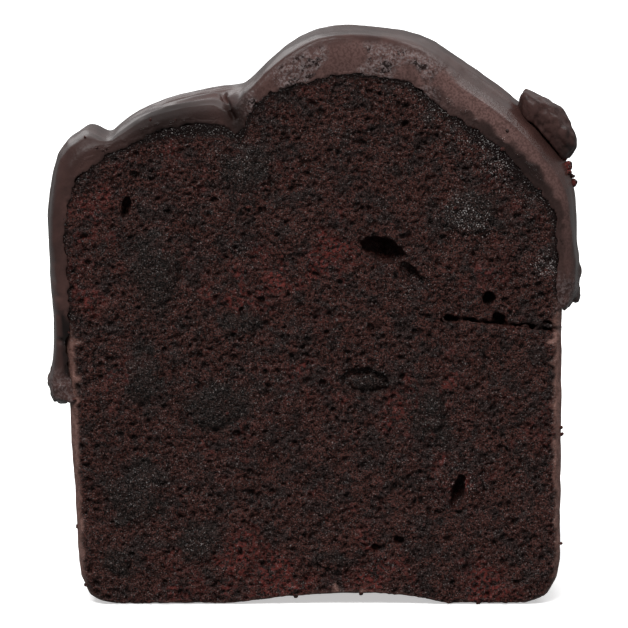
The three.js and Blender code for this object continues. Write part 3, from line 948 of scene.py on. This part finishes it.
def icing_relief(points, normals, masks):
    """How far the icing's surface stands out of the solid's."""
    angle, share = icing_place(points)
    outward = (points[:, [0, 2]] - np.array(HEART)) / polar(points)[1][:, None]
    facing = np.sum(outward * normals[:, [0, 2]], axis=1)
    outside = smoothstep(*FACING, facing)
    inside = smoothstep(*FACING, -facing)
    hanging = bell(angle, *HANGING_ANGLE) * smoothstep(*HANGING_REACH, points[:, 1])
    rise = INNER_RISE * inside * (1.0 - hanging)
    rise += outside * bumps(points, OUTSIDE_BUMPS)
    plateau = smoothstep(*PLATEAU_FROM, points[:, 0]) * smoothstep(*PLATEAU_TO, points[:, 0])
    stroke = points[:, 1] + PLATEAU_STROKES["lean"] * points[:, 0] + bumps(points, STROKE_BENDS)
    wave = np.sin(stroke * math.tau / PLATEAU_STROKES["width"])
    rise += outside * plateau * PLATEAU_STROKES["height"] * wave
    near = smoothstep(*RIDGE_REACH, points[:, 1])
    for ridge in (LEFT_STREAK, RIGHT_RIDGE):
        rise += ridge["height"] * bell(share, *ridge["share"]) * bell(angle, *ridge["angle"]) * near
    rise += masks["wet"] * bumps(points, WET_BUMPS)
    for middle, height, width in ICING_WAVES:
        rise += outside * height * bell(points[:, 0], middle, width)
    carved = smoothstep(*CARVED_REACH, points[:, 1]) * (1.0 - inside)
    for line, (depth, width) in ((FOLD_SPLIT, SPLIT_CARVE), (LEFT_GAP, GAP_CARVE)):
        rise -= depth * bell(off_line(points, *line), 0.0, width) * carved
    return rise + smoothstep(*HEM_FADE, points[:, 2]) * bumps(points, HEM_BUMPS)


def make_icing(material):
    lobes = [ball(**lobe) for lobe in ICING_LOBES]
    mesh = remeshed(joined([node_mesh("icing"), *lobes]), ICING_MESH["step"], ICING_MESH["smooth"])
    points, normals = read(mesh)
    masks = icing_masks(points, normals)
    rise = icing_relief(points, normals, masks)
    write(mesh, rolled(points + normals * rise[:, None]))
    for name, values in masks.items():
        store(mesh, name, values)
    mesh = thinned(mesh, ICING_MESH["triangles"])
    return show("icing_coat", mesh, material, "icing", "icing")


def make_lump(material):
    mesh = remeshed(node_mesh("chocolate_lump", LUMP_GROWTH), LUMP_MESH["step"], LUMP_MESH["smooth"])
    points, normals = read(mesh)
    facets = np.abs(noise(points, LUMP_FACETS["width"], LUMP_FACETS["seed"]))
    rise = LUMP_FACETS["height"] * facets + bumps(points, LUMP_GRAINS)
    write(mesh, points + normals * rise[:, None] + np.array(LUMP_NUDGE))
    mesh = thinned(mesh, LUMP_MESH["triangles"])
    return show("chocolate_lump_rough", mesh, material, "chocolate", "chocolate_lump")


def make_crumbs(material, carriers):
    """Loose crumbs in one mesh, each stuck to the nearest surface."""
    graph = bpy.context.evaluated_depsgraph_get()
    trees = [BVHTree.FromObject(carrier, graph) for carrier in carriers]
    draw = np.random.default_rng(SMALL_CRUMBS["seed"])
    spread = draw.uniform(SMALL_CRUMB_LOW, SMALL_CRUMB_HIGH, (SMALL_CRUMBS["count"], 3))
    sizes = draw.uniform(SMALL_CRUMBS["least"], SMALL_CRUMBS["most"], SMALL_CRUMBS["count"])
    off = HALF_DEPTH + SMALL_CRUMB_OFF
    spread[:, 1] = np.where(spread[:, 1] < SMALL_CRUMB_FRONT, -off, off)
    places = [*RED_CRUMBS, *EDGE_CRUMBS, *np.column_stack([spread, sizes])]
    form = bmesh.new()
    for x, y, z, radius in places:
        place = Vector((x, y, z)) * MM
        found = min((tree.find_nearest(place) for tree in trees), key=lambda hit: hit[3])
        seat = found[0] + found[1] * (CRUMB_LIFT * radius * MM)
        turn = Euler(draw.uniform(0.0, math.tau, 3)).to_matrix().to_4x4()
        size = Matrix.Diagonal((*(radius * MM * draw.uniform(*CRUMB_AXES, 3)), 1.0))
        stuck = Matrix.Translation(seat) @ turn @ size
        bmesh.ops.create_icosphere(form, subdivisions=CRUMB_DETAIL, radius=1.0, matrix=stuck)
    mesh = bpy.data.meshes.new("crumbs")
    form.to_mesh(mesh)
    form.free()
    points, normals = read(mesh)
    write(mesh, points + normals * bumps(points, CRUMB_BUMPS)[:, None])
    points = read(mesh)[0]
    away = [np.linalg.norm(points - np.array(crumb[:3]), axis=1) for crumb in RED_CRUMBS]
    store(mesh, "red", smoothstep(*RED_REACH, np.min(away, axis=0)) + RED_LEAST)
    return show("crumbs", mesh, material, "sponge")


# Stage
def make_floor():
    form = bmesh.new()
    bmesh.ops.create_grid(form, x_segments=1, y_segments=1, size=FLOOR_HALF)
    mesh = bpy.data.meshes.new("floor")
    form.to_mesh(mesh)
    form.free()
    floor = bpy.data.objects.new("floor", mesh)
    bpy.context.scene.collection.objects.link(floor)
    white = linear(FLOOR)
    shader = Shader("floor", Roughness=FLOOR_ROUGH, **{"Base Color": white, "Specular IOR Level": 0.0})
    shader.fill(shader.surface, {"Emission Color": white, "Emission Strength": FLOOR_GLOW})
    mesh.materials.append(shader.material)
    floor.visible_glossy = False
    floor.visible_diffuse = False


def add_sun(name, towards, strength, spread, glossy):
    sun = bpy.data.lights.new(name, "SUN")
    sun.energy = strength
    sun.angle = math.radians(spread)
    lamp = bpy.data.objects.new(name, sun)
    lamp.visible_glossy = glossy
    lamp.rotation_mode = "QUATERNION"
    lamp.rotation_quaternion = (-Vector(towards)).to_track_quat("-Z", "Y")
    bpy.context.scene.collection.objects.link(lamp)


def make_light():
    for name, settings in LAMPS.items():
        add_sun(name, *settings)
    world = bpy.data.worlds.new("studio")
    world.use_nodes = True
    tree = world.node_tree
    back = tree.nodes["Background"]
    place = tree.nodes.new("ShaderNodeTexCoord")
    along = tree.nodes.new("ShaderNodeVectorMath")
    along.operation = "DOT_PRODUCT"
    along.inputs[1].default_value = WORLD_BRIGHT_SIDE
    ramp = tree.nodes.new("ShaderNodeMapRange")
    for name, value in WORLD_RANGE.items():
        ramp.inputs[name].default_value = value
    tree.links.new(place.outputs["Generated"], along.inputs[0])
    tree.links.new(along.outputs["Value"], ramp.inputs["Value"])
    tree.links.new(ramp.outputs["Result"], back.inputs["Strength"])
    back.inputs["Color"].default_value = (1.0, 1.0, 1.0, 1.0)
    bpy.context.scene.world = world
    bpy.context.scene.view_settings.view_transform = "Standard"


def make_camera():
    lens = bpy.data.cameras.new("camera")
    lens.lens = CAMERA_LENS
    lens.sensor_width = CAMERA_SENSOR
    lens.shift_x, lens.shift_y = CAMERA_SHIFT
    lens.clip_end = CAMERA_FAR
    camera = bpy.data.objects.new("camera", lens)
    rise = math.radians(CAMERA_RISE)
    back = Vector((0.0, -math.cos(rise), math.sin(rise)))
    camera.location = (Vector(CAMERA_AIM) + back * CAMERA_DISTANCE) * MM
    camera.rotation_mode = "QUATERNION"
    camera.rotation_quaternion = (-back).to_track_quat("-Z", "Y")
    bpy.context.scene.collection.objects.link(camera)
    bpy.context.scene.camera = camera


sponge_rim = outline(read(remeshed(node_mesh("sponge"), **RIM_MESH))[0])
icing_rim = outline(read(remeshed(node_mesh("icing"), **RIM_MESH))[0])

crumb = crumb_material("crumb")
sponge_pieces = make_sponge(crumb)
chunk_look = crumb_material("chunk")
for chunk_name in CHUNK_NAMES:
    make_chunk(chunk_name, chunk_look)
icing_piece = make_icing(icing_material())
make_lump(lump_material())
make_crumbs(crumb, [*sponge_pieces, icing_piece])

make_floor()
make_light()
make_camera()
